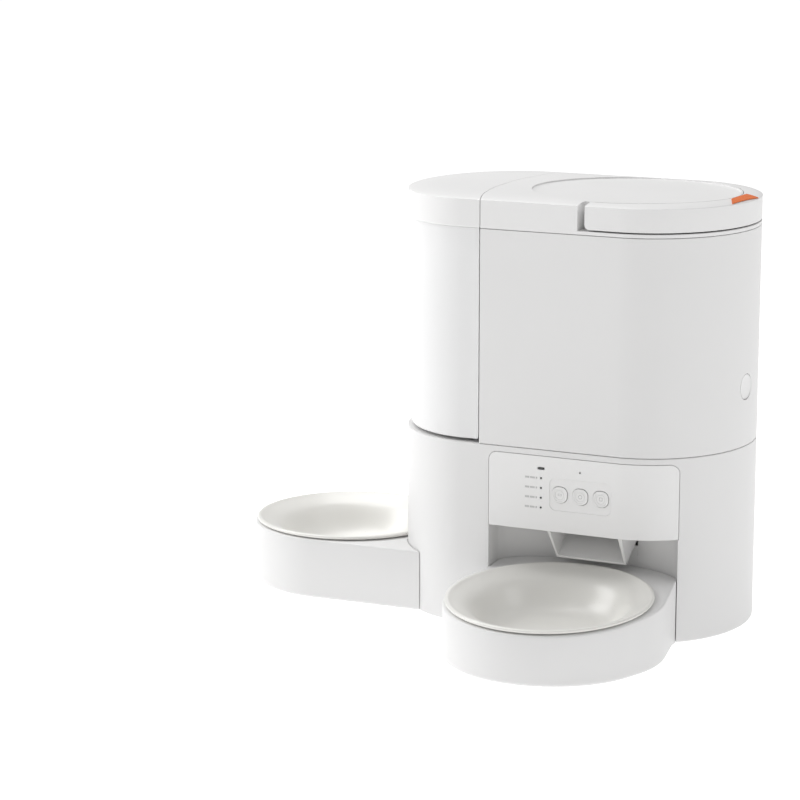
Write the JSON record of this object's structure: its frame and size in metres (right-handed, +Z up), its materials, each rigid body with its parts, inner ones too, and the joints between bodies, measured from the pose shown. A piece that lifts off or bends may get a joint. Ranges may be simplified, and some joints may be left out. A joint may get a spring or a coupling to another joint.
{
  "type": "automatic pet feeder",
  "caption": "Free-standing pet feeder with a dry-food hopper and a gravity water tank on one base, a dispensing chute and push-button panel, and two round bowls in pull-out trays.",
  "frame": {"origin": "on the floor under the middle of the whole object's box", "axes": "+X towards the feeder's right end, away from the water bowl; +Y towards its back, away from the food bowl; +Z up"},
  "size_m": [0.422, 0.315, 0.3371],
  "materials": {
    "shell": "satin moulded ABS",
    "tank": "frosted translucent plastic",
    "button": "smooth satin",
    "ceramic": "glossy glazed ceramic",
    "inner": "plain moulded plastic",
    "gears": "natural nylon",
    "lens": "smoked light guide",
    "dark": "black moulded plastic",
    "board": "green solder mask",
    "steel": "plain steel",
    "rubber": "soft matt grey",
    "ribbon": "woven orange ribbon"
  },
  "bodies": {
    "base": {"base_housing": "shell", "base_bottom_plate": "inner", "base_screw_1": "steel", "base_screw_2": "steel", "base_screw_3": "steel", "base_screw_4": "steel", "rubber_foot_1": "rubber", "rubber_foot_2": "rubber", "rubber_foot_3": "rubber", "rubber_foot_4": "rubber", "control_panel": "shell", "status_light": "lens", "indicator_light_1": "lens", "indicator_light_2": "lens", "indicator_light_3": "lens", "indicator_light_4": "lens", "circuit_board": "board", "food_chute": "shell", "rotor_housing": "inner", "gear_motor": "steel", "power_inlet": "dark", "valve_cup": "inner", "water_nozzle": "inner", "water_hose": "rubber"},
    "feed_button": {"feed_button": "button"},
    "water_button": {"water_button": "button"},
    "lock_button": {"lock_button": "button"},
    "rotor": {"metering_rotor": "inner", "rotor_gear": "gears"},
    "pinion": {"motor_pinion": "gears"},
    "hopper": {"hopper_housing": "shell", "hopper_floor": "inner", "hopper_funnel": "inner"},
    "release_button": {"hopper_release_button": "button"},
    "hopper_lid": {"hopper_lid": "shell", "lid_seal": "rubber", "handle_pin_front": "steel", "handle_pin_rear": "steel", "desiccant_box": "inner", "desiccant_cover": "inner"},
    "handle": {"lid_handle": "shell", "pull_tab": "ribbon"},
    "tank": {"water_tank": "tank", "tank_valve_body": "inner"},
    "valve_plunger": {"valve_plunger": "rubber"},
    "tank_lid": {"tank_lid": "shell", "tank_lid_seal": "rubber"},
    "food_tray": {"food_tray": "shell", "food_tray_foot_ring": "rubber", "food_bowl": "ceramic"},
    "water_tray": {"water_tray": "shell", "water_tray_foot_ring": "rubber", "water_bowl": "ceramic"}
  },
  "joints": [
    {"name": "food_tray_slide", "type": "slide", "parent": "base", "child": "food_tray", "axis": [0, -1, 0], "range_m": [0, 0.08]},
    {"name": "water_tray_slide", "type": "slide", "parent": "base", "child": "water_tray", "axis": [-1, 0, 0], "range_m": [0, 0.08]},
    {"name": "hopper_lift", "type": "slide", "parent": "base", "child": "hopper", "axis": [0, 0, 1], "range_m": [0, 0.18]},
    {"name": "hopper_lid_lift", "type": "slide", "parent": "hopper", "child": "hopper_lid", "axis": [0, 0, 1], "range_m": [0, 0.06]},
    {"name": "handle_swing", "type": "hinge", "parent": "hopper_lid", "child": "handle", "pos_m": [0.115, 0.0675, 0.3263], "axis": [0, -1, 0], "range_deg": [0, 95]},
    {"name": "tank_lift", "type": "slide", "parent": "base", "child": "tank", "axis": [0, 0, 1], "range_m": [0, 0.18]},
    {"name": "tank_lid_lift", "type": "slide", "parent": "tank", "child": "tank_lid", "axis": [0, 0, 1], "range_m": [0, 0.05]},
    {"name": "valve_plunger_slide", "type": "slide", "parent": "tank", "child": "valve_plunger", "axis": [0, 0, 1], "range_m": [-0.0015, 0]},
    {"name": "feed_button_press", "type": "slide", "parent": "base", "child": "feed_button", "axis": [0, 1, 0], "range_m": [0, 0.0008], "stiffness_N_per_m": 300, "springref_m": -0.001},
    {"name": "water_button_press", "type": "slide", "parent": "base", "child": "water_button", "axis": [0, 1, 0], "range_m": [0, 0.0008], "stiffness_N_per_m": 300, "springref_m": -0.001},
    {"name": "lock_button_press", "type": "slide", "parent": "base", "child": "lock_button", "axis": [0, 1, 0], "range_m": [0, 0.0008], "stiffness_N_per_m": 300, "springref_m": -0.001},
    {"name": "release_button_press", "type": "slide", "parent": "hopper", "child": "release_button", "axis": [-0.9955, 0.0946, 0], "range_m": [0, 0.0015], "stiffness_N_per_m": 300, "springref_m": -0.001},
    {"name": "rotor_spin", "type": "hinge", "parent": "base", "child": "rotor", "pos_m": [0.1075, 0.0495, 0.112], "axis": [1, 0, 0], "continuous": true},
    {"name": "pinion_spin", "type": "hinge", "parent": "base", "child": "pinion", "pos_m": [0.1354, 0.0775, 0.112], "axis": [1, 0, 0], "continuous": true}
  ],
  "couplings": [
    {"joint": "pinion_spin", "follows": "rotor_spin", "ratio": -3},
    {"joint": "valve_plunger_slide", "follows": "tank_lift", "ratio": -0.0083333}
  ]
}
